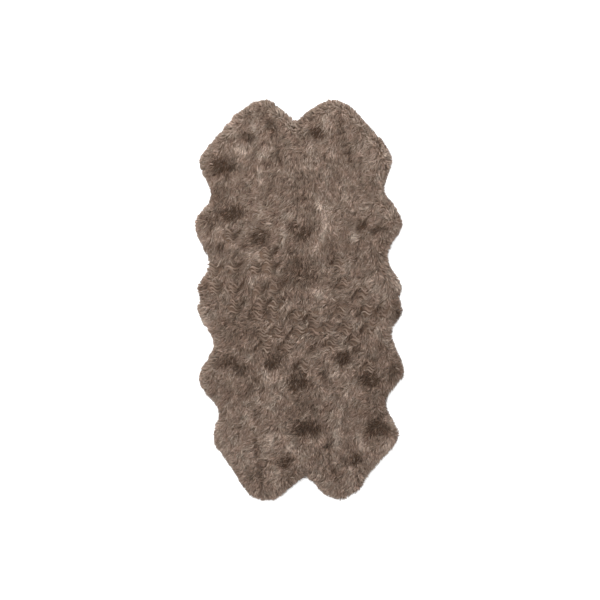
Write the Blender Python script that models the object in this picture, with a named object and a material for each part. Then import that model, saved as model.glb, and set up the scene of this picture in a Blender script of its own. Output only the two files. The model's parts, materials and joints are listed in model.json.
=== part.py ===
"""A sheepskin rug of four pelts lying flat, each a hide with its wool, joined edge to edge.

The hides lie on z = 0 with their flesh side down. +Y runs along the rug to its far end and +X across
it. Each pelt's wool is a lumpy slab that covers its hide, hangs over the hide's edge to the floor and
ends in tapered locks. The two seams between the pelts run along and across the rug.
"""

import math
import random

import bmesh
import bpy
from mathutils import Matrix, Vector, geometry

# Driving sizes, in metres
MM = 0.001
SEAM_GAP = 0.0004
HIDE_THICKNESS = 0.003
HIDE_INSET = 0.026
CUTTER_MARGIN = 0.01
WOOL_LEVEL = 0.046
WOOL_CLEARANCE = 0.0004
EDGE_ROUND = 0.040
BULGE_HEIGHT = 0.017
TUCK_UNDER = 0.005

# Locks round the free edge
LOCK_REACH = 0.013
LOCK_WIDTH = 0.018
LOCK_LENGTHS = (0.75, 1.35)
LOCK_SPREAD = 0.45
LOCK_MIDDLE = 0.75
LOCK_TIP = 0.34
LOCK_DROOPS = (0.0010, 0.0035)
SHORTEST_LOCK = 0.005
SEAM_CLEARANCE = 0.0015

# Points that carry the wool's top surface
PELT_LENGTH = 1.0
PELT_WIDTH = 0.5
LATTICE_STEP = 0.026
LATTICE_SHIFT = 0.003
CLOSEST_POINTS = 0.016
RING_INSETS = (0.009, 0.022)
LATTICE_EDGE_INSET = 0.032
LATTICE_SEAM_INSET = 0.014

# General roll of the wool: wavelength, direction in degrees and height of each wave
ROLLS = (
    (0.118, 24, 0.0028),
    (0.093, 97, 0.0024),
    (0.141, 152, 0.0022),
)

WOOL_COLOUR = (0.188, 0.133, 0.105, 1)
HIDE_COLOUR = (0.46, 0.35, 0.25, 1)

# Free edge of each pelt, as (across, along) in millimetres from the rug's middle, from its notch
# on the centre seam, round its lobes, to its end of the cross seam
FREE_EDGES = {
    "far_left": (
        (-15, 815), (-55, 850), (-105, 890), (-165, 915), (-225, 890), (-280, 855),
        (-355, 770), (-420, 695), (-455, 650), (-455, 610), (-430, 560), (-405, 500),
        (-405, 455), (-440, 415), (-470, 375), (-475, 335), (-460, 280), (-430, 225),
        (-410, 175), (-420, 135), (-450, 90), (-460, 45), (-455, 5),
    ),
    "far_right": (
        (-15, 815), (20, 845), (65, 880), (105, 900), (155, 915), (215, 895),
        (265, 855), (335, 775), (400, 700), (425, 645), (420, 610), (405, 560),
        (385, 515), (400, 475), (435, 430), (460, 390), (470, 355), (455, 300),
        (425, 255), (405, 205), (420, 150), (450, 100), (470, 55), (455, 15),
    ),
    "near_left": (
        (25, -800), (-10, -835), (-50, -865), (-105, -905), (-155, -915), (-215, -895),
        (-260, -845), (-290, -795), (-340, -720), (-385, -655), (-390, -610), (-375, -550),
        (-365, -510), (-390, -465), (-430, -420), (-455, -370), (-450, -320), (-420, -270),
        (-395, -230), (-390, -195), (-410, -150), (-440, -100), (-460, -50), (-455, 5),
    ),
    "near_right": (
        (25, -800), (65, -835), (100, -870), (140, -900), (180, -910), (235, -890),
        (285, -850), (320, -795), (380, -720), (440, -660), (455, -620), (440, -575),
        (415, -525), (395, -470), (425, -415), (460, -365), (480, -335), (470, -285),
        (445, -230), (425, -180), (420, -140), (445, -100), (470, -50), (455, 15),
    ),
}

# Hollows where the wool parts: (across, along, half width, half length, depth) in millimetres
HOLLOWS = (
    (-355, 610, 60, 45, 12),
    (-235, 735, 30, 25, 6),
    (-120, 730, 20, 90, 5),
    (-305, 385, 45, 50, 10),
    (-200, 280, 40, 40, 9),
    (-10, 315, 65, 30, 8),
    (330, 330, 75, 30, 8),
    (5, 125, 90, 70, 7),
    (85, 755, 30, 25, 6),
    (205, 745, 20, 90, 5),
    (325, 155, 75, 60, 4),
    (-305, -100, 70, 60, 4),
    (-305, -305, 65, 35, 8),
    (-105, -280, 40, 40, 9),
    (0, -385, 50, 50, 10),
    (210, -270, 40, 40, 9),
    (305, -370, 50, 50, 10),
    (40, -600, 65, 50, 12),
    (350, -590, 65, 50, 12),
    (-65, -730, 35, 25, 6),
    (255, -725, 35, 25, 6),
    (-190, -730, 20, 90, 5),
    (150, -760, 20, 80, 5),
)

# Curled tufts that stand above the rest, as (across, along) in millimetres
CURLED_TUFTS = (
    (-305, 150), (-200, 150), (-135, 150), (-385, 60), (-300, 55), (-185, 55), (-115, 60),
    (-295, -30), (-175, -20), (-115, -15), (-190, -65), (-120, -70), (-10, -70), (65, -75),
    (200, -50), (310, -50), (385, -50), (-165, -145), (-95, -145), (0, -140), (75, -125),
    (135, -130), (220, -130), (325, -125), (-315, 295), (20, -300), (325, -300), (-150, 210),
    (185, 175), (210, 75), (295, 35), (-150, -205), (-50, -205), (155, -195), (255, -180),
)
TUFT_RADIUS = 0.024
TUFT_HEIGHT = 0.008


def clear_scene():
    for old in list(bpy.data.objects):
        bpy.data.objects.remove(old)


def metres(pairs):
    return [Vector(pair) * MM for pair in pairs]


def smooth_line(places):
    """A fine line through the places, with the roundness of automatic Bezier handles."""
    curve = bpy.data.curves.new("line", "CURVE")
    spline = curve.splines.new("BEZIER")
    spline.bezier_points.add(len(places) - 1)
    for point, place in zip(spline.bezier_points, places):
        point.co = (*place, 0)
        point.handle_left_type = "AUTO"
        point.handle_right_type = "AUTO"
    guide = bpy.data.objects.new("line", curve)
    mesh = bpy.data.meshes.new_from_object(guide)
    line = [vertex.co.xy for vertex in mesh.vertices]
    bpy.data.objects.remove(guide)
    bpy.data.curves.remove(curve)
    bpy.data.meshes.remove(mesh)
    return line


def evenly_spaced(line, step):
    """The line again, with points about one step apart and both ends kept."""
    lengths = [(b - a).length for a, b in zip(line, line[1:])]
    count = max(1, round(sum(lengths) / step))
    spacing = sum(lengths) / count
    spaced, walked = [line[0].copy()], 0.0
    for start, end, length in zip(line, line[1:], lengths):
        while len(spaced) < count and walked + length >= spacing * len(spaced):
            share = (spacing * len(spaced) - walked) / length
            spaced.append(start.lerp(end, share))
        walked += length
    return spaced + [line[-1].copy()]


def meeting_point(a, b, c, d):
    """Where the straight line through a and b meets the one through c and d."""
    first, second = b - a, d - c
    share = (c - a).cross(second) / first.cross(second)
    return a + first * share


FAR_NOTCH, LEFT_END = metres((FREE_EDGES["far_left"][0], FREE_EDGES["far_left"][-1]))
NEAR_NOTCH, RIGHT_END = metres((FREE_EDGES["near_right"][0], FREE_EDGES["near_right"][-1]))
CROSSING = meeting_point(FAR_NOTCH, NEAR_NOTCH, LEFT_END, RIGHT_END)


def distance_to_line(place, line):
    """The shortest distance from a place to a run of straight stretches."""
    shortest = math.inf
    for a, b in zip(line, line[1:]):
        share = (place - a).dot(b - a) / (b - a).length_squared
        nearest = a.lerp(b, min(1, max(0, share)))
        shortest = min(shortest, (place - nearest).length)
    return shortest


class Pelt:
    """The plan of one pelt: its free edge, its corner on the two seams, and which way is inwards."""

    def __init__(self, name):
        self.name = name
        self.side = Vector((1 if "right" in name else -1, 1 if "far" in name else -1))
        self.notch = FAR_NOTCH if "far" in name else NEAR_NOTCH
        self.end = RIGHT_END if "right" in name else LEFT_END
        self.turn = self.side.x * self.side.y
        self.edge = smooth_line(metres(FREE_EDGES[name]))

    def inward(self, line, index):
        """The unit normal of a line along the free edge, pointing into the pelt."""
        before, after = line[max(index - 1, 0)], line[min(index + 1, len(line) - 1)]
        along = (after - before).normalized()
        return Vector((along.y, -along.x)) * self.turn

    def inset_edge(self, inset, step):
        """The free edge moved inwards, cut off or drawn out to end on both seams."""
        spaced = evenly_spaced(self.edge, step)
        moved = [place + self.inward(spaced, i) * inset for i, place in enumerate(spaced)]
        moved[0] = meeting_point(moved[0], moved[1], self.notch, CROSSING)
        moved[-1] = meeting_point(moved[-1], moved[-2], self.end, CROSSING)
        return moved

    def from_seams(self, place):
        """How far inside the pelt a place lies from the nearer seam; less than 0 is beyond it."""
        centre = (CROSSING - self.notch).normalized()
        cross = (CROSSING - self.end).normalized()
        off_centre = abs(centre.cross(place - CROSSING)) * self.sign_of(centre, place, self.end)
        off_cross = abs(cross.cross(place - CROSSING)) * self.sign_of(cross, place, self.notch)
        return min(off_centre, off_cross)

    @staticmethod
    def sign_of(direction, place, inner):
        """1 where the place and the inner point lie on one side of a seam, and -1 otherwise."""
        same = direction.cross(place - CROSSING) * direction.cross(inner - CROSSING)
        return 1 if same > 0 else -1


def wool_level(place):
    """Height of the wool's general surface, with its roll, hollows and curled tufts."""
    level = WOOL_LEVEL
    for wavelength, degrees, height in ROLLS:
        heading = Vector((math.cos(math.radians(degrees)), math.sin(math.radians(degrees))))
        level += height * math.sin(2 * math.pi * place.dot(heading) / wavelength)
    for across, along, half_width, half_length, depth in HOLLOWS:
        off = place / MM - Vector((across, along))
        level -= depth * MM * math.exp(-((off.x / half_width) ** 2) - (off.y / half_length) ** 2)
    for tuft in CURLED_TUFTS:
        off = (place - Vector(tuft) * MM).length
        level += TUFT_HEIGHT * math.exp(-((off / TUFT_RADIUS) ** 2))
    return level


def wool_height(place, edge):
    """Height of the slab's top, which rounds down towards the free edge."""
    depth_in = min(1, distance_to_line(place, edge) / EDGE_ROUND)
    share = math.sqrt(1 - (1 - depth_in) ** 2)
    return BULGE_HEIGHT + (wool_level(place) - BULGE_HEIGHT) * share


def inside(place, loop):
    """Whether a place lies within a closed loop, by the crossings of a ray along +X."""
    crossings = 0
    for a, b in zip(loop, loop[1:] + loop[:1]):
        if (a.y > place.y) != (b.y > place.y):
            crossings += place.x < a.x + (b.x - a.x) * (place.y - a.y) / (b.y - a.y)
    return crossings % 2 == 1


def lattice(pelt, chance):
    """Staggered rows of slightly shifted points over the pelt and beyond its edge."""
    row_step = LATTICE_STEP * math.sin(math.radians(60))
    places = []
    for row in range(round(PELT_LENGTH / row_step)):
        for column in range(round(PELT_WIDTH / LATTICE_STEP)):
            across = (column + 0.5 * (row % 2)) * LATTICE_STEP * pelt.side.x
            along = row * row_step * pelt.side.y
            shift = Vector((chance.uniform(-1, 1), chance.uniform(-1, 1))) * LATTICE_SHIFT
            places.append(CROSSING + Vector((across, along)) + shift)
    return places


def top_points(pelt, edge, loop, chance):
    """Points that carry the top surface: rings along the edge, tufts, hollows and a lattice."""
    wanted = []
    for inset in RING_INSETS:
        wanted += pelt.inset_edge(LOCK_REACH + inset, LOCK_WIDTH)[1:-1]
    wanted += metres(CURLED_TUFTS)
    wanted += metres(hollow[:2] for hollow in HOLLOWS)
    for place in lattice(pelt, chance):
        if inside(place, loop) and distance_to_line(place, edge) > LATTICE_EDGE_INSET:
            wanted.append(place)
    kept = []
    for place in wanted:
        if pelt.from_seams(place) < LATTICE_SEAM_INSET or not inside(place, loop):
            continue
        if all((place - other).length > CLOSEST_POINTS for other in kept):
            kept.append(place)
    return kept


def wool_mesh(pelt, chance):
    """The wool of one pelt as a closed mesh: lumpy top, rim that reaches the floor, and locks."""
    edge = pelt.inset_edge(LOCK_REACH, LOCK_WIDTH)
    cross_seam = evenly_spaced([edge[-1], CROSSING], LATTICE_STEP)[1:]
    centre_seam = evenly_spaced([CROSSING, edge[0]], LATTICE_STEP)[1:-1]
    loop = edge + cross_seam + centre_seam
    points = loop + top_points(pelt, edge, loop, chance)
    places, _, faces, _, _, _ = geometry.delaunay_2d_cdt(
        points, [], [list(range(len(loop)))], 1, 1e-7
    )

    bm = bmesh.new()
    bm.faces.layers.int.new("lock")
    inwards = bm.verts.layers.float_vector.new("inwards")
    for place in places:
        vertex = bm.verts.new((*place, wool_height(place, edge)))
        nearest = min(range(len(edge)), key=lambda i: (edge[i] - place).length)
        if (edge[nearest] - place).length < MM:
            vertex[inwards] = (*pelt.inward(edge, nearest), 0)
    bm.verts.ensure_lookup_table()
    for face in faces:
        bm.faces.new([bm.verts[i] for i in face])

    rim = [e for e in bm.edges if e.is_boundary]
    skirt = bmesh.ops.extrude_edge_only(bm, edges=rim)["geom"]
    for vertex in (g for g in skirt if isinstance(g, bmesh.types.BMVert)):
        vertex.co += vertex[inwards] * TUCK_UNDER
        vertex.co.z = 0
    walls = [g for g in skirt if isinstance(g, bmesh.types.BMFace)]
    bmesh.ops.holes_fill(bm, edges=[e for e in bm.edges if e.is_boundary])
    bmesh.ops.recalc_face_normals(bm, faces=bm.faces)
    free_walls = [f for f in walls if all(v[inwards].length > 0 for v in f.verts)]
    free_walls.sort(key=lambda wall: wall.calc_center_median()[:])
    grow_locks(bm, free_walls, pelt, chance)
    bmesh.ops.triangulate(bm, faces=bm.faces)
    mesh = bpy.data.meshes.new(f"wool_{pelt.name}")
    bm.to_mesh(mesh)
    bm.free()
    mesh.shade_smooth()
    return mesh


def lock_length(wall, outwards, pelt, chance):
    """A lock's length from its face of the rim, shorter where it would come near a seam."""
    start = wall.calc_center_median().xy
    half_width = max((vertex.co.xy - start).length for vertex in wall.verts)
    length = LOCK_REACH * chance.uniform(*LOCK_LENGTHS)
    while length > SHORTEST_LOCK:
        clearances = [
            pelt.from_seams(start + outwards * length * share) - half_width * width
            for share, width in ((1 / 2, LOCK_MIDDLE), (1, LOCK_TIP))
        ]
        if min(clearances) > SEAM_CLEARANCE:
            return length
        length -= MM
    return 0


def grow_locks(bm, walls, pelt, chance):
    """Draws each face of the rim out into a tapered lock that droops to the floor."""
    number = bm.faces.layers.int["lock"]
    faces, locks = [], []
    for wall in walls:
        turn = Matrix.Rotation(chance.uniform(-LOCK_SPREAD, LOCK_SPREAD), 2)
        outwards = turn @ wall.normal.xy.normalized()
        length = lock_length(wall, outwards, pelt, chance)
        if length:
            wall[number] = len(locks)
            faces.append(wall)
            locks.append((outwards, length))
    for taper, droop in zip((LOCK_MIDDLE, LOCK_TIP / LOCK_MIDDLE), LOCK_DROOPS):
        faces = bmesh.ops.extrude_discrete_faces(bm, faces=faces)["faces"]
        for face in faces:
            outwards, length = locks[face[number]]
            centre = face.calc_center_median()
            for vertex in face.verts:
                vertex.co = centre + (vertex.co - centre) * taper
                vertex.co += Vector((*outwards, 0)) * length / 2
                vertex.co.z = max(0, vertex.co.z - droop)


def flat_outline(name, outline, low, high):
    """A filled flat curve between two levels."""
    curve = bpy.data.curves.new(name, "CURVE")
    curve.dimensions = "2D"
    curve.fill_mode = "BOTH"
    curve.extrude = (high - low) / 2
    spline = curve.splines.new("POLY")
    spline.points.add(len(outline) - 1)
    spline.use_cyclic_u = True
    for point, place in zip(spline.points, outline):
        point.co = (*place, 0, 1)
    flat = bpy.data.objects.new(name, curve)
    flat.location.z = (low + high) / 2
    return flat


def as_mesh(curved):
    """The curve object made a mesh object, with its caps welded to its sides."""
    mesh = bpy.data.meshes.new_from_object(curved)
    bm = bmesh.new()
    bm.from_mesh(mesh)
    bmesh.ops.remove_doubles(bm, verts=bm.verts, dist=0.00001)
    bm.to_mesh(mesh)
    bm.free()
    name, place = curved.name, curved.matrix_basis.copy()
    bpy.data.objects.remove(curved)
    made = bpy.data.objects.new(name, mesh)
    made.matrix_basis = place
    return made


def hide_object(pelt):
    """The hide: a flat sheet of leather cut back from the wool's edge."""
    edge = pelt.inset_edge(HIDE_INSET, LOCK_WIDTH)
    return flat_outline(f"hide_{pelt.name}", edge + [CROSSING], 0, HIDE_THICKNESS)


def hide_cutter(pelt):
    """The hide's room in the wool, larger all round and run past both seams."""
    edge = pelt.inset_edge(HIDE_INSET - WOOL_CLEARANCE, LOCK_WIDTH)
    past_seams = pelt.side * -CUTTER_MARGIN
    past_cross = edge[-1] + past_seams * Vector((0, 1))
    past_centre = edge[0] + past_seams * Vector((1, 0))
    outline = edge + [past_cross, CROSSING + past_seams, past_centre]
    name, top = f"room_{pelt.name}", HIDE_THICKNESS + WOOL_CLEARANCE
    return as_mesh(flat_outline(name, outline, -CUTTER_MARGIN, top))


def finish(name, colour, roughness):
    """A plain material with the part's colour."""
    material = bpy.data.materials.new(name)
    material.use_nodes = True
    shader = material.node_tree.nodes["Principled BSDF"]
    shader.inputs["Base Color"].default_value = colour
    shader.inputs["Roughness"].default_value = roughness
    shader.inputs["Metallic"].default_value = 0
    material.diffuse_color = colour
    return material


def place_pelt(pelt, rug, cutters, root, chance):
    """Adds the hide and the wool of one pelt, half a seam's gap away from both seams."""
    wool = bpy.data.objects.new(f"wool_{pelt.name}", wool_mesh(pelt, chance))
    hide = hide_object(pelt)
    room = hide_cutter(pelt)
    for piece, colour, roughness in ((wool, WOOL_COLOUR, 0.95), (hide, HIDE_COLOUR, 0.8)):
        rug.objects.link(piece)
        piece.parent = root
        piece.location.xy = pelt.side * SEAM_GAP / 2
        piece.data.materials.append(finish(piece.name, colour, roughness))
    cutters.objects.link(room)
    room.parent = root
    room.location.xy = pelt.side * SEAM_GAP / 2
    room.hide_render = True
    room.display_type = "WIRE"
    recess = wool.modifiers.new("hide_room", "BOOLEAN")
    recess.operation = "DIFFERENCE"
    recess.object = room


def build():
    clear_scene()
    rug = bpy.data.collections.new("sheepskin_rug")
    cutters = bpy.data.collections.new("cutters")
    for collection in (rug, cutters):
        bpy.context.scene.collection.children.link(collection)
    root = bpy.data.objects.new("rug", None)
    rug.objects.link(root)
    chance = random.Random(8)
    for name in FREE_EDGES:
        place_pelt(Pelt(name), rug, cutters, root, chance)


build()
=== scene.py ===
"""Looks of a sheepskin rug: four pelts with long taupe-brown wool, sewn edge to edge, lying flat."""

import json
import math

import bmesh
import bpy
import numpy as np
from mathutils import Matrix, Vector, noise
from mathutils.bvhtree import BVHTree
from mathutils.kdtree import KDTree

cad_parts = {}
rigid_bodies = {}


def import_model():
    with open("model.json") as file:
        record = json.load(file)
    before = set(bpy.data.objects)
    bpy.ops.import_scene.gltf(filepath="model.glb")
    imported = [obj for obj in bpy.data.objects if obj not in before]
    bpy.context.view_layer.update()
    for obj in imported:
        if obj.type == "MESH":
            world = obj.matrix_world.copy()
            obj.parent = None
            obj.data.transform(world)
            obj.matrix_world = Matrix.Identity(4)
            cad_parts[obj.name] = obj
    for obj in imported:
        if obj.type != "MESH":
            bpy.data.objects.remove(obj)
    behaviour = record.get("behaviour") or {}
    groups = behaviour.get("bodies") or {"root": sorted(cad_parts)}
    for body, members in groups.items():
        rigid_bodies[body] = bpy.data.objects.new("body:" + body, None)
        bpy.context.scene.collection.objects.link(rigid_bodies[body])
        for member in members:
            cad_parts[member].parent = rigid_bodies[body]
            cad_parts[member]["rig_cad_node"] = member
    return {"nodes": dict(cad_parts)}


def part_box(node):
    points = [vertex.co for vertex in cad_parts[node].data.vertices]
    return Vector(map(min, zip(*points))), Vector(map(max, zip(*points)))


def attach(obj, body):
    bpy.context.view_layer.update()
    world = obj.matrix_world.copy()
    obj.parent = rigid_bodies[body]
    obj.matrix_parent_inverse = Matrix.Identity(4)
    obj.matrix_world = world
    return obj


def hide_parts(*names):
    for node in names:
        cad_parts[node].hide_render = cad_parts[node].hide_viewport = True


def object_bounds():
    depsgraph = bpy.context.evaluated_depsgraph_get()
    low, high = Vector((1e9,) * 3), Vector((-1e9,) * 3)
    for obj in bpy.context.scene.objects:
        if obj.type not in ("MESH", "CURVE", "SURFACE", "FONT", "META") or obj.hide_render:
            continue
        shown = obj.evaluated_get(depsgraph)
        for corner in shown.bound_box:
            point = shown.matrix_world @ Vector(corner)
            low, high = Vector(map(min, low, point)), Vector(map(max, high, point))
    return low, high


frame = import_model()
cad_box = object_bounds()

# The hides
# Each pelt's own skin, 3 mm thick, flesh side down and brushed to a pale suede. It shows only from
# below. The four are cut straight where they meet and left in their own outline elsewhere.

PELTS = ("far_left", "far_right", "near_left", "near_right")
MM = 0.001
SUEDE_PALE = (0.52, 0.40, 0.29, 1)
SUEDE_DARK = (0.36, 0.26, 0.18, 1)
SAME_POINT = 0.01 * MM
ON_THE_FLOOR = 0.1 * MM
LONGEST_FREE_EDGE = 0.1
PLACES_AT_ONCE = 2000


def new_material(name, roughness, gloss=0.2):
    """A material, its node tree and its Principled shader."""
    material = bpy.data.materials.new(name)
    material.use_nodes = True
    shader = material.node_tree.nodes["Principled BSDF"]
    shader.inputs["Roughness"].default_value = roughness
    shader.inputs["Specular IOR Level"].default_value = gloss
    return material, material.node_tree, shader


def node(tree, kind, **inputs):
    """A shader node with its inputs set by name, from values or from other sockets."""
    made = tree.nodes.new(kind)
    for name, value in inputs.items():
        socket = made.inputs[name.replace("_", " ")]
        if isinstance(value, bpy.types.NodeSocket):
            tree.links.new(value, socket)
        else:
            socket.default_value = value
    return made


def blend(tree, share, first, second):
    """A colour between two colours."""
    mix = tree.nodes.new("ShaderNodeMix")
    mix.data_type = "RGBA"
    for socket, value in ((mix.inputs[0], share), (mix.inputs[6], first), (mix.inputs[7], second)):
        if isinstance(value, bpy.types.NodeSocket):
            tree.links.new(value, socket)
        else:
            socket.default_value = value
    return mix.outputs[2]


def fibre_nap():
    """Short matted fibres, as a mask and as a rough normal, for the suede and the under-wool."""
    group = bpy.data.node_groups.new("fibre_nap", "ShaderNodeTree")
    for label, end in (("Fineness", "INPUT"), ("Depth", "INPUT"), ("Fibres", "OUTPUT")):
        group.interface.new_socket(label, in_out=end, socket_type="NodeSocketFloat")
    group.interface.new_socket("Normal", in_out="OUTPUT", socket_type="NodeSocketVector")
    given = group.nodes.new("NodeGroupInput").outputs
    place = node(group, "ShaderNodeTexCoord").outputs["Object"]
    fibres = node(group, "ShaderNodeTexNoise", Vector=place, Scale=given["Fineness"], Detail=4.0)
    rough = node(group, "ShaderNodeBump", Height=fibres.outputs["Fac"], Distance=given["Depth"],
                 Strength=0.7)
    node(group, "NodeGroupOutput", Fibres=fibres.outputs["Fac"], Normal=rough.outputs["Normal"])
    return group


def napped(tree, shader, fineness, depth):
    """Puts the fibre nap in a material, as its normal, and gives back its mask."""
    nap = tree.nodes.new("ShaderNodeGroup")
    nap.node_tree = nap_group
    nap.inputs["Fineness"].default_value = fineness
    nap.inputs["Depth"].default_value = depth
    tree.links.new(nap.outputs["Normal"], shader.inputs["Normal"])
    return nap.outputs["Fibres"]


def suede():
    """Buffed flesh side: pale leather with a short nap, cloudy where it was scraped thinner."""
    material, tree, shader = new_material("suede", roughness=0.85)
    place = node(tree, "ShaderNodeTexCoord").outputs["Object"]
    clouds = node(tree, "ShaderNodeTexNoise", Vector=place, Scale=9.0, Detail=4.0)
    tone = node(tree, "ShaderNodeMapRange", Value=clouds.outputs["Fac"], From_Min=0.3, From_Max=0.7)
    colour = blend(tree, tone.outputs["Result"], SUEDE_DARK, SUEDE_PALE)
    nap = napped(tree, shader, fineness=900.0, depth=0.0003)
    colour = blend(tree, nap, colour, SUEDE_PALE)
    tree.links.new(colour, shader.inputs["Base Color"])
    return material


def dress(piece, material):
    """Gives a piece its material, and lets it ride with the rug."""
    piece.data.materials.clear()
    piece.data.materials.append(material)
    if not piece.get("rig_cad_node"):
        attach(piece, "root")


def merged(node_name):
    """A bmesh of a CAD node with its loose triangles joined."""
    bm = bmesh.new()
    bm.from_mesh(frame["nodes"][node_name].data)
    bmesh.ops.remove_doubles(bm, verts=bm.verts, dist=SAME_POINT)
    return bm


nap_group = fibre_nap()
suede_finish = suede()
free_edges = []
seams = {}
for pelt in PELTS:
    hide = frame["nodes"][f"hide_{pelt}"]
    dress(hide, suede_finish)
    bm = merged(f"hide_{pelt}")
    seams[pelt] = []
    for face in bm.faces:
        if abs(face.normal.z) > 0.5:
            continue
        foot = [v.co.xy for v in face.verts if v.co.z < ON_THE_FLOOR]
        if len(foot) < 2:
            continue
        if (foot[0] - foot[1]).length < LONGEST_FREE_EDGE:
            free_edges.append((*foot[0], *foot[1], *face.normal.xy))
        else:
            seams[pelt].append((*foot[0], *foot[1], *face.normal.xy))
    area = sum(f.calc_area() for f in bm.faces if f.normal.z < -0.5)
    bm.free()
free_edges = np.array(free_edges)


def from_edge(places):
    """How far plan places lie inside the hides' free edge, less than 0 beyond it, and the way out."""
    start, end, outward = free_edges[:, 0:2], free_edges[:, 2:4], free_edges[:, 4:6]
    run = end - start
    signed = np.empty(len(places))
    out = np.empty((len(places), 2))
    for first in range(0, len(places), PLACES_AT_ONCE):
        block = places[first:first + PLACES_AT_ONCE, None]
        share = ((block - start) * run).sum(2) / (run * run).sum(1)
        gap = block - (start + run * np.clip(share, 0, 1)[..., None])
        length = np.hypot(gap[..., 0], gap[..., 1])
        nearest = length.argmin(1)
        rows = np.arange(len(nearest))
        side = (gap[rows, nearest] * outward[nearest]).sum(1)
        signed[first:first + PLACES_AT_ONCE] = np.where(side > 0, -1, 1) * length[rows, nearest]
        out[first:first + PLACES_AT_ONCE] = outward[nearest]
    return signed, out


def inside_seams(places, pelt, clearance):
    """Whether plan places lie on the pelt's own side of its seams, by at least the clearance."""
    kept = np.ones(len(places), bool)
    for row in seams[pelt]:
        kept &= ((places - row[0:2]) * row[4:6]).sum(1) < -clearance
    return kept


# The sewing
# The pelts are joined edge to edge on the flesh side with a waxed thread, in short slanting
# stitches that reach from one skin across the seam to the other.

STITCH_PITCH = 0.006
STITCH_LENGTH = 0.0075
STITCH_SLANT = 0.0022
THREAD_RADIUS = 0.0005
THREAD_SINK = 0.0003
THREAD_COLOUR = (0.20, 0.145, 0.105, 1)
PLY_SHADE = 0.55


def thread_material():
    """Twisted thread, with painted shade in the turns of its plies."""
    material, tree, shader = new_material("waxed_thread", roughness=0.6)
    place = node(tree, "ShaderNodeTexCoord").outputs["Object"]
    plies = node(tree, "ShaderNodeTexWave", Vector=place, Scale=300.0, Distortion=0.5)
    plies.bands_direction = "DIAGONAL"
    dark = tuple(PLY_SHADE * part for part in THREAD_COLOUR[:3]) + (1,)
    colour = blend(tree, plies.outputs["Fac"], dark, THREAD_COLOUR)
    tree.links.new(colour, shader.inputs["Base Color"])
    bump = node(tree, "ShaderNodeBump", Height=plies.outputs["Fac"], Distance=0.0002, Strength=0.6)
    tree.links.new(bump.outputs["Normal"], shader.inputs["Normal"])
    return material


def stitched(bm, start, end):
    """Adds the stitches over one seam, from its start to its end in the plan."""
    run = end - start
    way = run.normalized()
    across = Vector((-way.y, way.x))
    for number in range(1, int(run.length / STITCH_PITCH)):
        middle = start + way * number * STITCH_PITCH
        lie = (across * STITCH_LENGTH + way * STITCH_SLANT).normalized()
        made = bmesh.ops.create_uvsphere(bm, u_segments=6, v_segments=6, radius=1)["verts"]
        bmesh.ops.scale(bm, verts=made, vec=(STITCH_LENGTH / 2, THREAD_RADIUS, THREAD_RADIUS))
        turn = Matrix.Rotation(math.atan2(lie.y, lie.x), 3, "Z")
        bmesh.ops.rotate(bm, verts=made, matrix=turn)
        bmesh.ops.translate(bm, verts=made, vec=(*middle, THREAD_SINK))


bm = bmesh.new()
for pelt in PELTS:
    for row in seams[pelt]:
        to_the_right, to_the_near = row[4] > 0.5, row[5] < -0.5
        if to_the_right or to_the_near:
            stitched(bm, Vector(row[0:2]), Vector(row[2:4]))
thread_mesh = bpy.data.meshes.new("seam_thread")
bm.to_mesh(thread_mesh)
bm.free()
thread_mesh.shade_smooth()
thread = bpy.data.objects.new("seam_thread", thread_mesh)
bpy.context.scene.collection.objects.link(thread)
dress(thread, thread_material())

# The wool's height
# The wool is about 50 mm deep. Its general surface is the CAD wool's, with its parted hollows and
# raised tufts, so that every lock stands on the solid that it dresses.

WOOL_TOP = 0.08
surfaces = {}
for pelt in PELTS:
    bm = merged(f"wool_{pelt}")
    surfaces[pelt] = BVHTree.FromBMesh(bm)
    bm.free()


def wool_height(place):
    """Height of the CAD wool's top at a plan place, or None beyond its edge."""
    heights = []
    for surface in surfaces.values():
        hit = surface.ray_cast(Vector((*place, WOOL_TOP)), Vector((0, 0, -1)))[0]
        if hit:
            heights.append(hit.z)
    return max(heights, default=None)


# The under-wool
# The dense wool next to the skin, which closes the gaps between the long locks. It is a low mound
# on each pelt, round at its free edge and cut straight along the seams.

UNDER_PITCH = 0.012
UNDER_DROP = 0.010
UNDER_REACH = 0.019
UNDER_LOWEST = 0.0012
UNDER_RIM = 4 * UNDER_LOWEST
SEAM_LAP = 0.0006
# Painted shade: the roots and the under-wool are coloured darker, as the shade deep in the pile
WOOL_ROOT_SHADE = (0.064, 0.040, 0.027, 1)
WOOL_MATTED = (0.105, 0.072, 0.054, 1)
WOOL_GLOSS = 0.05


def under_wool_material():
    """Matted wool near the skin, coloured dark as painted shade deep in the pile."""
    material, tree, shader = new_material("matted_wool", roughness=0.95, gloss=WOOL_GLOSS)
    nap = napped(tree, shader, fineness=260.0, depth=0.002)
    colour = blend(tree, nap, WOOL_ROOT_SHADE, WOOL_MATTED)
    tree.links.new(colour, shader.inputs["Base Color"])
    return material


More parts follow.
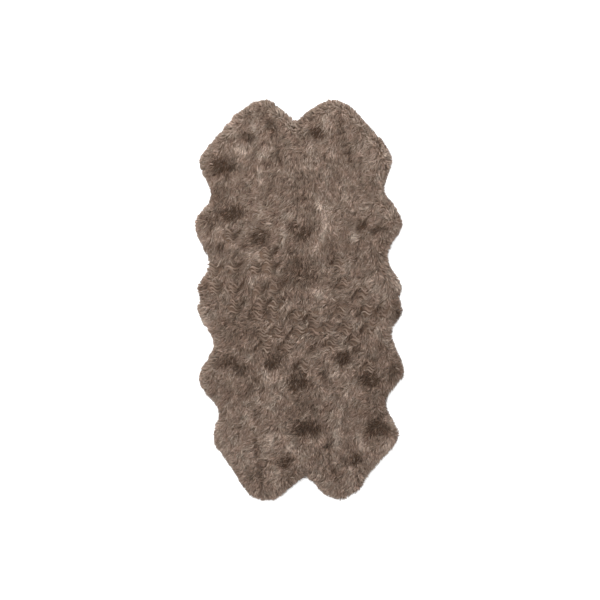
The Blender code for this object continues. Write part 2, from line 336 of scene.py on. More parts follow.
def under_wool(pelt):
    """The mound of dense wool on one pelt. It laps its neighbours a little, so no light comes
    through the seams."""
    low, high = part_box(f"wool_{pelt}")
    low -= Vector((SEAM_LAP, SEAM_LAP, 0))
    high += Vector((SEAM_LAP, SEAM_LAP, 0))
    bm = bmesh.new()
    columns = math.ceil((high.x - low.x) / UNDER_PITCH)
    rows = math.ceil((high.y - low.y) / UNDER_PITCH)
    bmesh.ops.create_grid(bm, x_segments=columns, y_segments=rows, size=0.5)
    bmesh.ops.scale(bm, verts=bm.verts, vec=(high.x - low.x, high.y - low.y, 1))
    bmesh.ops.translate(bm, verts=bm.verts, vec=(low + high) / 2)
    for row in seams[pelt]:
        everything = bm.verts[:] + bm.edges[:] + bm.faces[:]
        lap = (row[0] + row[4] * SEAM_LAP, row[1] + row[5] * SEAM_LAP, 0)
        bmesh.ops.bisect_plane(bm, geom=everything, plane_co=lap, plane_no=(*row[4:6], 0),
                               clear_outer=True)
    places = np.array([v.co.xy for v in bm.verts])
    depth, out = from_edge(places)
    past = -UNDER_REACH - depth
    vertices = list(bm.verts)
    for vertex, over, way in zip(vertices, past, out):
        if 0 < over < UNDER_PITCH:
            vertex.co.xy -= Vector(way) * over
    far_out = [v for v, over in zip(vertices, past) if over >= UNDER_PITCH]
    bmesh.ops.delete(bm, geom=far_out, context="VERTS")
    for vertex in bm.verts:
        top = wool_height(vertex.co.xy) or UNDER_DROP
        vertex.co.z = max(UNDER_RIM, top - UNDER_DROP)
    rim = [e for e in bm.edges if e.is_boundary]
    wall = bmesh.ops.extrude_edge_only(bm, edges=rim)["geom"]
    for vertex in (g for g in wall if isinstance(g, bmesh.types.BMVert)):
        vertex.co.z = UNDER_LOWEST
    bmesh.ops.holes_fill(bm, edges=[e for e in bm.edges if e.is_boundary])
    bmesh.ops.recalc_face_normals(bm, faces=bm.faces)
    mesh = bpy.data.meshes.new(f"underwool_{pelt}")
    bm.to_mesh(mesh)
    bm.free()
    return mesh


under_wool_finish = under_wool_material()
for pelt in PELTS:
    mound = bpy.data.objects.new(f"underwool_{pelt}", under_wool(pelt))
    bpy.context.scene.collection.objects.link(mound)
    dress(mound, under_wool_finish)

# The locks
# Fine locks of dyed wool, gathered in small staples that lean together. They rise from the
# under-wool and bend over along the fall of the fleece, and at the free edge they lie outwards.

# One lock. Its lengths and widths are a least and a most share, its rise and droop are a mean and
# a spread, and its girth is how thick it is at places along it
LOCK_PITCH = 0.0046
LOCK_JITTER = 0.45
LOCK_ROOT_SINK = 0.003
LOCK_LOWEST_ROOT = 0.002
LOCK_ROOT_UNEVEN = 0.0015
LOCK_SEAM_GAP = 0.001
LOCK_LENGTH = 0.036
LOCK_LENGTHS = (0.75, 1.15)
LOCK_SHORTEST = 0.3 * LOCK_LENGTH
LOCK_REACH = 0.8
HIDE_TO_TIPS = 0.026
LOCK_HALF_WIDTH = 0.0025
LOCK_WIDTHS = (0.7, 1.2)
LOCK_HALF_THICKNESS = 0.0019
LOCK_LOWEST = 0.5 * UNDER_LOWEST
LOCK_FLATTEST = 0.0004
LOCK_GIRTH = ((0, 0.3, 0.75, 1), (0.8, 1.0, 0.8, 0))
LOCK_RINGS = (0.0, 0.5)
LOCK_STEPS = 24
SAME_CORNER = 0.0001
SAME_LEVEL = 0.001
LOCK_ROLL = 0.6
LOCK_RISE = (1.12, 0.14)
LOCK_DROOP = (-0.35, 0.2)
LOCK_CURL = 0.38
LOCK_SPREAD = 0.25
LOCK_SEED = 40

# The way the locks lie: along the fall of the fleece, out at the rim, and on end between the two.
# A sweep or swirl is how strong it is and how long its waves are
FALL = math.radians(-118)
FALL_SWEEP = (0.35, 0.35)
FALL_SWIRL = (0.25, 0.10)
HOLLOW_PUSH = 0.8
HOLLOW_SIZE = 40
RIM_BAND = 0.060
RIM_HEIGHT = 0.014
RIM_FLOW = 1.7
RIM_TURN = 0.7
RIM_SWIRL = (1.5, 0.3)
RIM_LOWER = 0.6
RIM_DROOP = 0.75
RIM_MARGIN = (-0.003, 0.001)
STANDING_FLOW = 0.9
STANDING_RISE = 0.15
STANDING_DROOP = 0.5
STANDING_SPREAD = 1.3

# The staples. Their turn, tone, rise and reach are spreads about the locks' own
STAPLE_PITCH = 0.024
STAPLE_JITTER = 0.4
STAPLE_PULL = 0.2
STAPLE_CROWN = 0.002
STAPLE_DOME = 0.3
STAPLE_TURN = 0.3
STAPLE_TONE = 0.09
STAPLE_RISE = 0.09
STAPLE_REACH = 0.0035
STAPLE_FARTHEST = 0.006

# The tones, from -1 in a hollow painted dark as shade to 1 on a ridge painted pale as light, with the
# wool's own random mottle between. A pair is a strength and a size. Each lock takes the tone of the
# place in sight, which is this share of its length past its root
IN_SIGHT = 0.55
BROAD_MOTTLE = (0.21, 0.09)
FINE_MOTTLE = (0.18, 0.028)
RAGGED = (0.3, 0.016)
MOTTLE_GAIN = 1.6
RIM_PALER_AND_LIT = 0.28
FLECK = 0.19
STRAYS = 0.14
STRAY_PALER = 0.55
HOLLOW_SHADE = 1.35
RIDGE_HIGHLIGHT = 0.9

# Under the curled tufts the locks are shorter and lower, and they are low in the partings too
PARTING_DEPTH = 0.021
TUFT_UNDER = 0.011
TUFT_SHORTER = 0.4
TUFT_SOFTNESS = 2.5
TUFT_FALLEN = 0.018
TUFT_FALLEN_SHARE = 0.7

# WOOL_SHADE is painted shade for the hollows and partings. The pale colour is painted light on the
# ridges and the rim, and also the wool's own paler mottle
WOOL_SHADE = (0.031, 0.016, 0.0085, 1)
WOOL_BODY = (0.178, 0.127, 0.099, 1)
WOOL_PALE_AND_LIT = (0.345, 0.276, 0.228, 1)
WOOL_WARM = (1.03, 0.985, 0.975, 1)
WOOL_COOL = (0.98, 1.015, 1.015, 1)
WOOL_SHEEN = (0.80, 0.64, 0.52, 1)
WOOL_STREAK = 1.1

# Parted hollows, painted darker as shade down in the parted wool: (across, along, half width,
# half length, turn, darkness). Sizes are in mm, and the turn, from upright towards the left, is in
# degrees
HOLLOWS = (
    (-350, 600, 62, 42, 0, 1), (-237, 737, 34, 24, 20, 0.85), (-300, 390, 60, 40, 0, 1),
    (-183, 282, 44, 36, 0, 1), (-245, 240, 22, 22, 0, 0.6), (-360, 238, 20, 22, 0, 0.6),
    (-35, 330, 34, 26, 30, 0.7), (20, 292, 44, 28, 20, 0.8), (290, 342, 34, 26, 30, 0.7),
    (345, 315, 38, 22, 20, 0.65), (82, 755, 36, 22, -15, 0.85), (-137, 785, 14, 45, 12, 0.6),
    (-95, 655, 16, 55, 15, 0.55), (190, 785, 14, 45, 10, 0.55), (225, 655, 16, 55, 12, 0.45),
    (10, 125, 100, 65, 0, 0.42), (-30, 210, 20, 50, 15, 0.3), (-405, 350, 26, 45, 0, 0.4),
    (-440, 75, 20, 30, 0, 0.4), (-325, -290, 52, 28, 15, 0.7), (-265, -322, 38, 26, 20, 0.75),
    (-115, -282, 44, 36, 0, 0.9), (-60, -236, 22, 20, 0, 0.5), (55, -232, 20, 22, 0, 0.5),
    (200, -270, 40, 36, 0, 0.9), (262, -222, 22, 20, 0, 0.5), (370, -218, 22, 22, 0, 0.5),
    (2, -383, 52, 40, 0, 1), (315, -369, 52, 40, 0, 1), (20, -590, 50, 46, 0, 1),
    (75, -595, 36, 34, 0, 0.85), (340, -590, 50, 46, 0, 1), (395, -598, 36, 34, 0, 0.85),
    (-65, -738, 40, 24, 20, 0.85), (255, -728, 40, 24, 20, 0.85), (-200, -660, 16, 50, 12, 0.45),
    (-178, -785, 15, 60, 5, 0.6), (135, -690, 15, 60, 12, 0.4), (165, -800, 16, 38, 15, 0.6),
    (425, -335, 30, 45, 0, 0.45), (110, -348, 20, 28, 0, 0.45), (-280, -130, 85, 50, 0, 0.4),
    (-370, 480, 50, 60, 0, 0.25), (450, -50, 22, 42, 0, 0.5), (320, 150, 75, 55, 0, 0.2),
    (30, -470, 60, 50, 0, 0.25), (350, -470, 60, 60, 0, 0.3), (-220, 20, 60, 60, 0, 0.15),
    (-230, -400, 50, 50, 0, 0.15),
)

# Ridges painted paler, as painted light on the raised wool, in the same columns
RIDGES = (
    (-272, 675, 20, 34, 0, 0.8), (-165, 655, 18, 34, 0, 0.8), (50, 685, 20, 30, -10, 0.8),
    (155, 660, 18, 36, 0, 0.85), (118, 803, 22, 26, 0, 0.7), (-205, 795, 20, 28, 0, 0.6),
    (-180, 557, 14, 38, 0, 0.6), (132, 560, 14, 42, 0, 0.6), (-115, 460, 20, 26, 0, 0.6),
    (215, 466, 20, 28, 0, 0.7), (97, 415, 14, 34, 20, 0.8), (117, 345, 13, 36, 0, 0.8),
    (108, 285, 13, 34, -15, 0.8), (78, 235, 16, 28, -20, 0.9), (-145, 345, 18, 26, 0, 0.6),
    (-72, 282, 17, 38, 0, 0.8), (247, 283, 22, 24, 0, 0.65), (190, 178, 17, 34, -10, 0.75),
    (208, 80, 17, 50, 0, 0.6), (-205, 205, 42, 13, -20, 0.6), (90, 22, 52, 15, -25, 0.6),
    (-186, -75, 13, 30, 0, 0.5), (-175, -160, 16, 30, 0, 0.5), (-90, -185, 46, 13, -25, 0.75),
    (235, -178, 50, 14, -25, 0.75), (-232, -275, 20, 24, 0, 0.8), (-155, -343, 19, 26, 0, 0.8),
    (165, -340, 20, 26, 0, 0.8), (-82, -425, 12, 40, -10, 0.4), (213, -410, 14, 42, -10, 0.5),
    (-190, -460, 16, 24, 0, 0.7), (-132, -645, 18, 34, 0, 0.8), (174, -640, 18, 34, 0, 0.9),
    (-35, -677, 20, 28, -10, 0.85), (282, -665, 20, 28, -10, 0.85), (-105, -798, 19, 32, 0, 0.6),
    (230, -788, 18, 34, 0, 0.7), (-120, -550, 14, 42, 0, 0.4), (192, -560, 14, 42, 0, 0.45),
    (140, -150, 24, 24, 0, 0.5), (355, -145, 22, 24, 0, 0.5), (-290, -640, 40, 70, 0, 0.25),
    (330, 700, 45, 60, 30, 0.3), (-250, 800, 60, 25, -40, 0.2), (-440, -350, 25, 60, 0, 0.3),
    (-428, -100, 22, 50, 15, 0.5), (452, 60, 20, 30, 0, 0.5), (408, 655, 22, 60, 15, 0.45),
    (405, 200, 20, 45, 10, 0.3), (-400, -560, 22, 60, 15, 0.3), (445, 420, 20, 45, -10, 0.3),
)

# Where the curled tufts stand, in mm across and along. Each has a deep parting beside it, painted
# dark as shade, in the columns of HOLLOWS after how far it lies from the tuft's middle
CURLED_TUFTS = (
    (-390, 140), (-305, 150), (-200, 150), (-135, 150), (-150, 210), (-385, 60), (-300, 55),
    (-185, 55), (-115, 60), (-295, -30), (-175, -20), (-115, -15), (-190, -65), (-120, -70),
    (-10, -70), (65, -75), (200, -50), (310, -50), (385, -50), (-165, -145), (-95, -145),
    (0, -140), (75, -125), (135, -130), (220, -130), (325, -125), (-315, 295), (20, -300),
    (325, -300), (185, 175), (210, 75), (295, 35), (-150, -205), (-50, -205), (155, -195),
    (255, -180),
)
TUFT_SIZE = 32
TUFT_PARTING = (31, 6, 24, -38, 3.2)


def tuft_turned(across, along):
    """-1 for a tuft with its parting on the right, as in the far left, 1 for one with it on the left."""
    return 1 if across > 0 or along < -45 else -1


def tuft_partings():
    """The parting beside each curled tuft, painted dark as shade, in the columns of HOLLOWS."""
    beside, half_width, half_length, turn, darkness = TUFT_PARTING
    for across, along in CURLED_TUFTS:
        middle = across - beside * tuft_turned(across, along)
        yield middle, along, half_width, half_length, turn, darkness


chance = np.random.default_rng(5)
staple_across, staple_along = np.meshgrid(np.arange(cad_box[0].x, cad_box[1].x, STAPLE_PITCH),
                                          np.arange(cad_box[0].y, cad_box[1].y, STAPLE_PITCH))
staple_across[1::2] += STAPLE_PITCH / 2
staples = np.stack([staple_across.ravel(), staple_along.ravel()], 1)
staples += chance.uniform(-STAPLE_JITTER, STAPLE_JITTER, staples.shape) * STAPLE_PITCH
staple_turn = chance.normal(0, STAPLE_TURN, len(staples))
staple_tone = chance.normal(0, STAPLE_TONE, len(staples))
staple_rise = chance.normal(0, STAPLE_RISE, len(staples))
staple_reach = chance.normal(0, STAPLE_REACH, len(staples)).clip(-STAPLE_FARTHEST, STAPLE_FARTHEST)
staple_tree = KDTree(len(staples))
for number, (across, along) in enumerate(staples):
    staple_tree.insert((across, along, 0), number)
staple_tree.balance()


def wool_material():
    """Dyed wool streaked along its fibres, with painted shade at the roots and in the hollows and
    partings, and painted light on the ridges and the rim.
    """
    material, tree, shader = new_material("dyed_wool", roughness=0.9, gloss=WOOL_GLOSS)
    along = node(tree, "ShaderNodeUVMap")
    along.uv_map = "fibres"
    parts = node(tree, "ShaderNodeSeparateXYZ", Vector=along.outputs["UV"])
    lock = node(tree, "ShaderNodeAttribute")
    lock.attribute_name = "lock"
    patch = node(tree, "ShaderNodeAttribute")
    patch.attribute_name = "patch"
    stretched = node(tree, "ShaderNodeCombineXYZ", X=parts.outputs["X"], Y=parts.outputs["Y"],
                     Z=lock.outputs["Fac"])
    mapping = node(tree, "ShaderNodeMapping", Vector=stretched.outputs[0], Scale=(9.0, 1.6, 90.0))
    streaks = node(tree, "ShaderNodeTexNoise", Vector=mapping.outputs[0], Scale=1.0, Detail=3.0)
    # Painted shade: the colour darkens from the body of each lock down to its root, deep in the pile
    height = node(tree, "ShaderNodeMapRange", Value=parts.outputs["Y"], From_Min=0.1, From_Max=0.7)
    colour = blend(tree, height.outputs["Result"], WOOL_ROOT_SHADE, WOOL_BODY)
    # Painted shade in hollows and partings, painted light on ridges and rim, with the wool's own mottle
    dark = node(tree, "ShaderNodeMapRange", Value=patch.outputs["Fac"], From_Min=0.0, From_Max=-1.0,
                To_Max=1.0)
    colour = blend(tree, dark.outputs["Result"], colour, WOOL_SHADE)
    light = node(tree, "ShaderNodeMapRange", Value=patch.outputs["Fac"])
    colour = blend(tree, light.outputs["Result"], colour, WOOL_PALE_AND_LIT)
    single = node(tree, "ShaderNodeMapRange", Value=lock.outputs["Fac"], To_Min=0.02, To_Max=0.88)
    vary = node(tree, "ShaderNodeMath")
    vary.operation = "MULTIPLY_ADD"
    tree.links.new(streaks.outputs["Fac"], vary.inputs[0])
    vary.inputs[1].default_value = WOOL_STREAK
    tree.links.new(single.outputs["Result"], vary.inputs[2])
    shaded = node(tree, "ShaderNodeVectorMath")
    shaded.operation = "SCALE"
    tree.links.new(colour, shaded.inputs[0])
    tree.links.new(vary.outputs[0], shaded.inputs["Scale"])
    place = node(tree, "ShaderNodeTexCoord").outputs["Object"]
    dye = node(tree, "ShaderNodeTexNoise", Vector=place, Scale=22.0, Detail=2.0)
    evenness = node(tree, "ShaderNodeMapRange", Value=dye.outputs["Fac"], From_Min=0.35, From_Max=0.65)
    tint = blend(tree, evenness.outputs["Result"], WOOL_WARM, WOOL_COOL)
    tinted = node(tree, "ShaderNodeVectorMath")
    tinted.operation = "MULTIPLY"
    tree.links.new(shaded.outputs[0], tinted.inputs[0])
    tree.links.new(tint, tinted.inputs[1])
    tree.links.new(tinted.outputs[0], shader.inputs["Base Color"])
    bump = node(tree, "ShaderNodeBump", Height=streaks.outputs["Fac"], Distance=0.0008, Strength=0.7)
    tree.links.new(bump.outputs["Normal"], shader.inputs["Normal"])
    shader.inputs["Sheen Weight"].default_value = 0.15
    shader.inputs["Sheen Roughness"].default_value = 0.5
    shader.inputs["Sheen Tint"].default_value = WOOL_SHEEN
    return material


wool_finish = wool_material()


def ripple(places, seed, wavelength, waves=7):
    """Smooth swells over plan places, about -1 to 1, as a sum of plane waves."""
    chance = np.random.default_rng(seed)
    total = np.zeros(len(places))
    for _ in range(waves):
        heading, phase = chance.uniform(0, 2 * math.pi, 2)
        length = wavelength * chance.uniform(0.7, 1.5)
        way = np.array([math.cos(heading), math.sin(heading)])
        total += np.sin(2 * math.pi * (places @ way) / length + phase)
    return total / math.sqrt(waves)


def mottle(places, size, layer):
    """Irregular spots of one size over plan places, about -1 to 1."""
    return np.array([noise.noise(Vector((across / size, along / size, layer)))
                     for across, along in places]) * MOTTLE_GAIN


def within(places, rows):
    """For each patch: how far plan places lie from it, in its own half widths and half lengths,
    their offsets from its middle in mm, and its strength."""
    for across, along, half_width, half_length, turn, strength in rows:
        off = places / MM - (across, along)
        lean = math.radians(turn)
        sideways = off[:, 0] * math.cos(lean) + off[:, 1] * math.sin(lean)
        lengthways = off[:, 1] * math.cos(lean) - off[:, 0] * math.sin(lean)
        yield np.hypot(sideways / half_width, lengthways / half_length), off, strength


def patch_tone(places):
    """-1 in a hollow or parting painted dark as shade, 1 on a ridge painted pale as light, about 0
    elsewhere, with the wool's own mottle.
    """
    tone = BROAD_MOTTLE[0] * mottle(places, BROAD_MOTTLE[1], layer=1.3)
    tone += FINE_MOTTLE[0] * mottle(places, FINE_MOTTLE[1], layer=7.7)
    ragged = RAGGED[0] * mottle(places, RAGGED[1], layer=4.1)
    for away, _, strength in within(places, HOLLOWS):
        tone -= HOLLOW_SHADE * strength * np.exp(-np.clip(away + ragged, 0, None) ** 3)
    for away, _, strength in within(places, tuft_partings()):
        tone -= strength * np.exp(-away ** 2)
    for away, _, strength in within(places, RIDGES):
        tone += RIDGE_HIGHLIGHT * strength * np.exp(-np.clip(away + ragged, 0, None) ** 2)
    return np.clip(tone, -1, 1)


def parting(places):
    """Push on the locks out of the hollows, as plan vectors."""
    push = np.zeros((len(places), 2))
    for away, off, strength in within(places, HOLLOWS):
        push += off / HOLLOW_SIZE * (strength * np.exp(-away ** 2))[:, None]
    return push


def in_tuft(places):
    """1 in the middle of a curled tuft, 0 past its rim."""
    nearest = np.full(len(places), np.inf)
    for across, along in CURLED_TUFTS:
        nearest = np.minimum(nearest, np.hypot(*(places / MM - (across, along)).T) / TUFT_SIZE)
    return np.clip(TUFT_SOFTNESS - TUFT_SOFTNESS * nearest, 0, 1)


def straight_lock(rings):
    """One lock as a three-sided taper with a ring at each bend: its corners and its faces."""
    bm = bmesh.new()
    bmesh.ops.create_cone(bm, cap_ends=True, segments=3, radius1=1, radius2=0, depth=1)
    bmesh.ops.translate(bm, verts=bm.verts, vec=(0, 0, 0.5))
    for level in rings[1:]:
        everything = bm.verts[:] + bm.edges[:] + bm.faces[:]
        bmesh.ops.bisect_plane(bm, geom=everything, plane_co=(0, 0, level), plane_no=(0, 0, 1))
    bmesh.ops.triangulate(bm, faces=bm.faces)
    bmesh.ops.remove_doubles(bm, verts=bm.verts, dist=SAME_CORNER)
    bm.verts.index_update()
    corners = np.array([v.co for v in bm.verts])
    faces = np.array([[v.index for v in f.verts] for f in bm.faces])
    bm.free()
    return corners, faces


def bent_locks(name, rings, roots, headings, lengths, rises, droops, curls, crimps, widths, tones,
               shades, seed):
    """A mesh of many locks. Each starts at its root, sets out at its rise above level, bends over
    to its droop and turns sideways by its curl, all in radians. Its crimp is a sideways wave."""
    chance = np.random.default_rng(seed)
    corners, faces = straight_lock(rings)
    count = len(roots)
    levels = sorted({round(float(z), 4) for z in corners[:, 2]})
    steps = np.linspace(0, 1, LOCK_STEPS + 1)
    pitch = rises[:, None] * (1 - steps) + droops[:, None] * steps
    yaw = headings[:, None] + curls[:, None] * steps
    yaw += crimps[:, None] * np.cos(2 * math.pi * steps)
    way = np.stack([np.cos(pitch) * np.cos(yaw), np.cos(pitch) * np.sin(yaw), np.sin(pitch)], 2)
    walked = np.concatenate([np.zeros((count, 1, 3)), np.cumsum((way[:, 1:] + way[:, :-1]) / 2, 1)], 1)
    walked *= (lengths / LOCK_STEPS)[:, None, None]
    roll = chance.uniform(-LOCK_ROLL, LOCK_ROLL, count)
    points = np.empty((count, len(corners), 3))
    for level in levels:
        step = round(level * LOCK_STEPS)
        middle = roots + walked[:, step]
        turn, tilt = yaw[:, step], pitch[:, step]
        side = np.stack([-np.sin(turn), np.cos(turn), np.zeros(count)], 1)
        up = np.stack([-np.sin(tilt) * np.cos(turn), -np.sin(tilt) * np.sin(turn), np.cos(tilt)], 1)
        side, up = (side * np.cos(roll)[:, None] + up * np.sin(roll)[:, None],
                    up * np.cos(roll)[:, None] - side * np.sin(roll)[:, None])
        girth = np.interp(level, *LOCK_GIRTH)
        ring = np.flatnonzero(np.abs(corners[:, 2] - level) < SAME_LEVEL)
        for corner in ring:
            x, y = corners[corner, :2]
            size = math.hypot(x, y) or 1
            across = widths * girth * x / size
            above = widths * girth * y / size * LOCK_HALF_THICKNESS / LOCK_HALF_WIDTH
            points[:, corner] = middle + side * across[:, None] + up * above[:, None]
    lowest = LOCK_LOWEST + LOCK_FLATTEST * corners[:, 1] ** 2
    points[..., 2] = np.maximum(points[..., 2], lowest)
    mesh = bpy.data.meshes.new(name)
    every = (faces[None] + len(corners) * np.arange(count)[:, None, None]).reshape(-1)
    mesh.vertices.add(count * len(corners))
    mesh.vertices.foreach_set("co", points.reshape(-1).astype(np.float32))
    mesh.loops.add(len(every))
    mesh.loops.foreach_set("vertex_index", every.astype(np.int32))
    mesh.polygons.add(len(every) // 3)
    mesh.polygons.foreach_set("loop_start", np.arange(0, len(every), 3, dtype=np.int32))
    mesh.update(calc_edges=True)
    mesh.validate()
    around = np.arctan2(corners[:, 1], corners[:, 0]) / (2 * math.pi) + 0.5
    fibres = np.tile(np.stack([around, corners[:, 2]], 1), (count, 1))[every]
    layer = mesh.uv_layers.new(name="fibres")
    layer.uv.foreach_set("vector", fibres.reshape(-1).astype(np.float32))
    for label, values in (("lock", shades), ("patch", tones)):
        attribute = mesh.attributes.new(label, "FLOAT", "POINT")
        attribute.data.foreach_set("value", np.repeat(values, len(corners)).astype(np.float32))
    mesh.shade_smooth()
    return mesh


def scattered(pelt, pitch, seed):
    """Places over one pelt, a pitch apart and shifted at random, that lie within the wool."""
    chance = np.random.default_rng(seed)
    low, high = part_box(f"wool_{pelt}")
    across, along = np.meshgrid(np.arange(low.x, high.x, pitch),
                                np.arange(low.y, high.y, pitch * math.sqrt(3) / 2))
    across[1::2] += pitch / 2
    places = np.stack([across.ravel(), along.ravel()], 1)
    places += chance.uniform(-LOCK_JITTER, LOCK_JITTER, places.shape) * pitch
    depth, _ = from_edge(places)
    return places[(depth > -UNDER_REACH) & inside_seams(places, pelt, LOCK_SEAM_GAP)]


def kept_within(places, headings, lengths, reach, margin):
    """Lengths cut down so that no tip reaches past the wool's outline by more than the margin."""
    for _ in range(2):
        tips = places + np.stack([np.cos(headings), np.sin(headings)], 1) * (lengths * reach)[:, None]
        past = -from_edge(tips)[0] - HIDE_TO_TIPS - margin
        lengths = np.where(past > 0, lengths - past / reach, lengths)
        lengths = np.maximum(lengths, LOCK_SHORTEST)
    return lengths


def locks_of(pelt, seed):
    """The locks of one pelt as a mesh."""
    chance = np.random.default_rng(seed)
    places = scattered(pelt, LOCK_PITCH, seed)
    count = len(places)
    depth, out = from_edge(places)
    height = np.array([wool_height(place) or RIM_HEIGHT for place in places])
    near_rim = np.clip(1 - (depth + HIDE_TO_TIPS) / RIM_BAND, 0, 1)
    staple = np.array([staple_tree.find((*place, 0))[1] for place in places])
    inwards = (staples[staple] - places) / STAPLE_PITCH
    fall = FALL + FALL_SWEEP[0] * ripple(places, 21, FALL_SWEEP[1])
    fall += FALL_SWIRL[0] * ripple(places, 22, FALL_SWIRL[1])
    fall += staple_turn[staple]
    flow = np.stack([np.cos(fall), np.sin(fall)], 1) * (1 - near_rim)[:, None]
    flow += STAPLE_PULL * inwards + HOLLOW_PUSH * parting(places)
    swirl = np.clip(ripple(places, 23, RIM_SWIRL[1]) * RIM_SWIRL[0], -1, 1)
    outwards = np.arctan2(out[:, 1], out[:, 0]) + RIM_TURN * swirl
    flow += np.stack([np.cos(outwards), np.sin(outwards)], 1) * (RIM_FLOW * near_rim)[:, None]
    standing = (STANDING_FLOW - np.hypot(*flow.T)).clip(0, 1)
    headings = np.arctan2(flow[:, 1], flow[:, 0])
    headings += chance.normal(0, 1, count) * (LOCK_SPREAD + STANDING_SPREAD * standing)
    rises = chance.normal(*LOCK_RISE, count) + staple_rise[staple]
    rises += STANDING_RISE * standing - RIM_LOWER * near_rim ** 2
    droops = chance.normal(*LOCK_DROOP, count) + STANDING_DROOP * standing
    droops -= RIM_DROOP * near_rim ** 2
    lengths = LOCK_LENGTH * chance.uniform(*LOCK_LENGTHS, count)
    fallen = places + TUFT_FALLEN * np.array([math.cos(FALL), math.sin(FALL)])
    tufted = np.maximum(in_tuft(places), TUFT_FALLEN_SHARE * in_tuft(fallen))
    lengths *= 1 - TUFT_SHORTER * tufted
    margin = staple_reach[staple] + chance.uniform(*RIM_MARGIN, count)
    lengths = kept_within(places, headings, lengths, LOCK_REACH, margin)
    curls = chance.normal(0, LOCK_CURL, count)
    widths = LOCK_HALF_WIDTH * chance.uniform(*LOCK_WIDTHS, count)
    shown = np.stack([np.cos(headings), np.sin(headings)], 1) * (lengths * IN_SIGHT)[:, None]
    # The tone carries painted shade in hollows and partings and painted light on ridges, plus mottle
    tone = patch_tone(places + shown) + staple_tone[staple]
    in_hollow = np.clip(-tone, 0, 1)
    # The rim is paler: partly its own paler tone, partly painted light that lifts its self-shadow
    tone += RIM_PALER_AND_LIT * near_rim + chance.normal(0, FLECK, count) * (1 + in_hollow)
    tone += np.where(chance.uniform(0, 1, count) < STRAYS, STRAY_PALER * in_hollow, 0)
    parted = sum(np.exp(-away ** 2) for away, _, _ in within(places, tuft_partings()))
    lift = STAPLE_CROWN * (STAPLE_DOME - (inwards ** 2).sum(1))
    lift += chance.normal(0, LOCK_ROOT_UNEVEN, count) - PARTING_DEPTH * np.minimum(parted, 1)
    lift -= TUFT_UNDER * tufted
    foot = np.maximum(LOCK_LOWEST_ROOT, height - UNDER_DROP - LOCK_ROOT_SINK + lift)
    return bent_locks(f"wool_locks_{pelt}", LOCK_RINGS, np.column_stack([places, foot]), headings,
                      lengths, rises, droops, curls, np.zeros(count), widths, tone,
                      chance.uniform(0, 1, count), seed)


for number, pelt in enumerate(PELTS):
    locks = bpy.data.objects.new(f"wool_locks_{pelt}", locks_of(pelt, LOCK_SEED + number))
    bpy.context.scene.collection.objects.link(locks)
    dress(locks, wool_finish)
    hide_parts(f"wool_{pelt}")

# The curled tufts
# Longer staples that keep the sheep's curl. Each is five waved ropes of fine locks, laid one below
# the other on top of the fleece, and they all start at the parting beside the tuft.

CURL_RINGS = (0.0, 0.125, 0.25, 0.375, 0.5, 0.625, 0.75, 0.875)
CURL_ROPES = 5
CURL_ABREAST = 3
CURL_PITCH = 0.0112
CURL_STRAND = 0.0020
CURL_SHIFT = (0.0035, 0.0014)
CURL_START = 0.40
CURL_LENGTH = 0.066
CURL_LENGTHS = (0.85, 1.08)
CURL_STRAND_LENGTHS = (0.93, 1.0)
CURL_HALF_WIDTH = 0.0022
CURL_WIDTHS = (0.8, 1.1)
CURL_WAVE = 0.95
CURL_WAVE_SPREAD = 0.28
CURL_TURN = 0.12
CURL_RISE = 0.36
CURL_RISE_SPREAD = 0.04
CURL_SINK = 0.0035
CURL_ROPE_CROWN = 0.0004
CURL_STRAND_CROWN = 0.0014
CURL_TONE = (0.05, 0.12)
CURL_SHADES = (0.05, 0.65)
CURL_SEED = 60


def curls_of(pelt, seed):
    """The waved locks of one pelt's curled tufts as a mesh."""
    chance = np.random.default_rng(seed)
    middles = np.array(CURLED_TUFTS) * MM
    middles = middles[inside_seams(middles, pelt, 0)]
    turned = np.array([tuft_turned(*middle / MM) for middle in middles])
    height = np.array([wool_height(place) for place in middles])
    ropes = len(middles) * CURL_ROPES
    count = ropes * CURL_ABREAST
    in_one = CURL_ROPES * CURL_ABREAST
    middles, turned, height = (np.repeat(row, in_one, 0) for row in (middles, turned, height))
    rope = np.tile(np.repeat(np.arange(CURL_ROPES), CURL_ABREAST), count // in_one)
    rope = rope - (CURL_ROPES - 1) / 2
    strand = np.tile(np.arange(CURL_ABREAST), ropes) - (CURL_ABREAST - 1) / 2
    lengths = CURL_LENGTH * chance.uniform(*CURL_LENGTHS, ropes).repeat(CURL_ABREAST)
    lengths *= chance.uniform(*CURL_STRAND_LENGTHS, count)
    shift = chance.normal(0, CURL_SHIFT, (ropes, 2)).repeat(CURL_ABREAST, 0)
    start = -turned * lengths * CURL_START
    shift += np.stack([start, rope * CURL_PITCH + strand * CURL_STRAND], 1)
    foot = height - CURL_SINK - CURL_ROPE_CROWN * rope ** 2 - CURL_STRAND_CROWN * strand ** 2
    headings = np.where(turned > 0, 0, math.pi)
    headings = headings + chance.normal(0, CURL_TURN, ropes).repeat(CURL_ABREAST)
    rises = chance.normal(CURL_RISE, CURL_RISE_SPREAD, count)
    droops = chance.normal(-CURL_RISE, CURL_RISE_SPREAD, count)
    crimps = CURL_WAVE * chance.normal(1, CURL_WAVE_SPREAD, ropes).repeat(CURL_ABREAST)
    widths = CURL_HALF_WIDTH * chance.uniform(*CURL_WIDTHS, count)
    tone = chance.normal(*CURL_TONE, count)
    return bent_locks(f"wool_curls_{pelt}", CURL_RINGS, np.column_stack([middles + shift, foot]),
                      headings, lengths, rises, droops, np.zeros(count), crimps, widths, tone,
                      chance.uniform(*CURL_SHADES, count), seed)


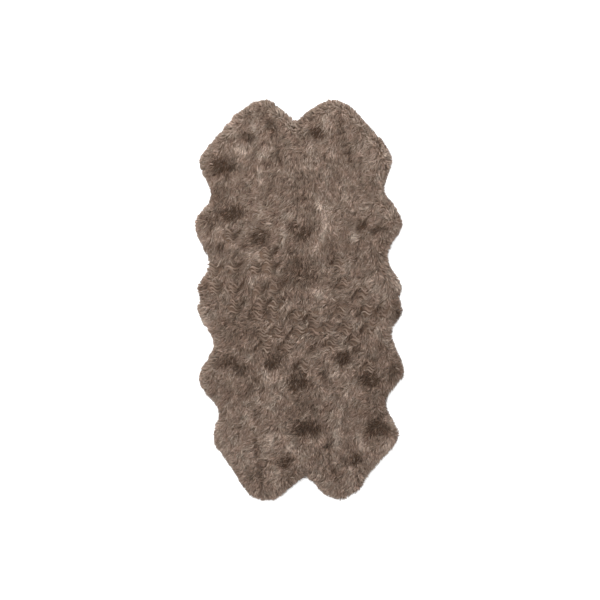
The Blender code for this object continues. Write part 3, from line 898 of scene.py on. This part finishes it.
for number, pelt in enumerate(PELTS):
    curls = bpy.data.objects.new(f"wool_curls_{pelt}", curls_of(pelt, CURL_SEED + number))
    bpy.context.scene.collection.objects.link(curls)
    dress(curls, wool_finish)

# The floor, the light and the camera
# A plain white floor under soft light from all sides, seen from straight above as in the photograph.

PIXEL = 0.0045522
VIEW_SIDE = 600 * PIXEL
VIEW_LEVEL = 0.03
LENS = 150
SENSOR = 36
FLOOR_WHITE = (0.88, 0.88, 0.88, 1)
FLOOR_HALF_SIDE = 12
SKY_STRENGTH = 1.55
SOFTBOX_SIDE = 1.8
SOFTBOX_POWER = 207
SOFTBOX_PLACE = (-1.1, 1.4, 3.7)

bm = bmesh.new()
bmesh.ops.create_grid(bm, x_segments=1, y_segments=1, size=FLOOR_HALF_SIDE)
floor_mesh = bpy.data.meshes.new("floor")
bm.to_mesh(floor_mesh)
bm.free()
floor = bpy.data.objects.new("floor", floor_mesh)
floor_finish, _, floor_shader = new_material("floor", roughness=0.9)
floor_shader.inputs["Base Color"].default_value = FLOOR_WHITE
floor_mesh.materials.append(floor_finish)
bpy.context.scene.collection.objects.link(floor)

world = bpy.data.worlds.new("studio")
world.use_nodes = True
sky = world.node_tree.nodes["Background"]
sky.inputs["Color"].default_value = (1, 1, 1, 1)
sky.inputs["Strength"].default_value = SKY_STRENGTH
bpy.context.scene.world = world

softbox = bpy.data.lights.new("softbox", "AREA")
softbox.size = SOFTBOX_SIDE
softbox.energy = SOFTBOX_POWER
lamp = bpy.data.objects.new("softbox", softbox)
lamp.location = SOFTBOX_PLACE
lamp.rotation_euler = (Vector((0, 0, 0)) - lamp.location).to_track_quat("-Z", "Y").to_euler()
bpy.context.scene.collection.objects.link(lamp)

camera_data = bpy.data.cameras.new("camera")
camera_data.lens = LENS
camera_data.sensor_width = SENSOR
camera_data.clip_end = 100
camera = bpy.data.objects.new("camera", camera_data)
distance = VIEW_SIDE * LENS / SENSOR
camera.location = (PIXEL, 0, distance + VIEW_LEVEL)
bpy.context.scene.collection.objects.link(camera)
bpy.context.scene.camera = camera
bpy.context.scene.view_settings.view_transform = "Standard"
